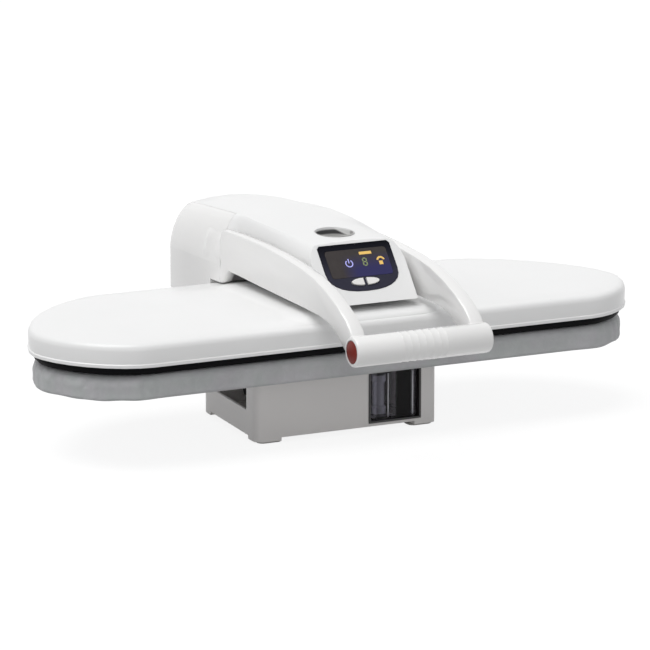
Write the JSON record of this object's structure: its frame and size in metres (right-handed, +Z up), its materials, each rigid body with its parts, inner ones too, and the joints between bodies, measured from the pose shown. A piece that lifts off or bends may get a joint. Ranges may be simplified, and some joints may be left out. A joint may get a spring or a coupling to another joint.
{
  "type": "steam ironing press",
  "caption": "Table-top steam ironing press with a long padded board, a heated upper shoe on a hinged arm, a fork handle, a tilted control face and a pull-out water tank.",
  "frame": {"origin": "on the table, under the middle of the whole press at rest", "axes": "+X along the pressing board to the right of a person at the handle, -Y towards the handle, +Z up"},
  "size_m": [0.702, 0.4698, 0.2207],
  "materials": {
    "white_plastic": "white moulded plastic, soft gloss",
    "grey_white_plastic": "warm grey-white moulded plastic, fine grain",
    "dark_plastic": "dark moulded plastic",
    "smoked_plastic": "smoked see-through plastic",
    "clear_plastic": "pale clear plastic",
    "rubber": "pale rubber",
    "hose": "milky silicone",
    "steel": "plain sheet and bar steel",
    "bronze": "sintered bush metal",
    "coated_aluminium": "dark non-stick coating",
    "ceramic": "white ceramic",
    "foam": "open foam",
    "cover_cloth": "silver-grey coated cloth",
    "bezel_plastic": "dark blue-grey plastic",
    "display_glass": "dark smoked window",
    "board_green": "circuit board",
    "button_red": "red plastic"
  },
  "bodies": {
    "base": {"base_shell": "grey_white_plastic", "base_plate": "grey_white_plastic", "rear_column": "grey_white_plastic", "foot_front_left": "rubber", "foot_front_right": "rubber", "foot_rear_left": "rubber", "foot_rear_right": "rubber", "foot_column_left": "rubber", "foot_column_right": "rubber", "tank_frame": "dark_plastic", "tank_socket": "dark_plastic", "pump_hose": "hose", "water_pump": "dark_plastic", "mains_gland": "dark_plastic", "hinge_bracket": "steel", "hinge_shaft": "steel", "lift_spring_left": "steel", "lift_spring_right": "steel", "board_pan": "steel", "foam_pad": "foam", "board_cover": "cover_cloth"},
    "tank": {"tank_shell": "smoked_plastic", "tank_filter": "clear_plastic", "tank_valve": "clear_plastic"},
    "arm": {"arm_housing": "white_plastic", "hood_cover": "white_plastic", "arm_frame": "steel", "hinge_bush_left": "bronze", "hinge_bush_right": "bronze", "pivot_pin": "steel", "stop_pad_left": "dark_plastic", "stop_pad_right": "dark_plastic", "recess_cup": "clear_plastic", "console_bezel": "bezel_plastic", "display_window": "display_glass", "display_module": "dark_plastic", "control_board": "board_green", "steam_switch_left": "dark_plastic", "steam_switch_right": "dark_plastic", "button_spring_left": "steel", "button_spring_right": "steel"},
    "shoe": {"shoe_casing": "white_plastic", "heating_plate": "coated_aluminium", "heating_element": "steel", "steam_chamber_lid": "steel", "thermostat": "ceramic", "shoe_bracket": "steel"},
    "left_key": {"key_left": "white_plastic"},
    "right_key": {"key_right": "white_plastic"},
    "left_steam_button": {"steam_button_left": "button_red"},
    "right_steam_button": {"steam_button_right": "button_red"}
  },
  "joints": [
    {"name": "press_hinge", "type": "hinge", "parent": "base", "child": "arm", "pos_m": [0, 0.2, 0.109], "axis": [-1, 0, 0], "range_deg": [0, 35]},
    {"name": "shoe_tilt", "type": "hinge", "parent": "arm", "child": "shoe", "pos_m": [0, 0.088, 0.163], "axis": [1, 0, 0], "range_deg": [0, 2]},
    {"name": "tank_slide", "type": "slide", "parent": "base", "child": "tank", "axis": [0, -1, 0], "range_m": [0, 0.115]},
    {"name": "left_steam_button_press", "type": "slide", "parent": "arm", "child": "left_steam_button", "axis": [1, 0, 0], "range_m": [0, 0.003], "stiffness_N_per_m": 600, "deforming": ["button_spring_left"]},
    {"name": "right_steam_button_press", "type": "slide", "parent": "arm", "child": "right_steam_button", "axis": [-1, 0, 0], "range_m": [0, 0.003], "stiffness_N_per_m": 600, "deforming": ["button_spring_right"]},
    {"name": "left_key_press", "type": "slide", "parent": "arm", "child": "left_key", "axis": [0, 0.7771, -0.6293], "range_m": [0, 0.001], "stiffness_N_per_m": 800},
    {"name": "right_key_press", "type": "slide", "parent": "arm", "child": "right_key", "axis": [0, 0.7771, -0.6293], "range_m": [0, 0.001], "stiffness_N_per_m": 800}
  ],
  "couplings": [
    {"joint": "shoe_tilt", "follows": "press_hinge", "ratio": 0.057143}
  ]
}
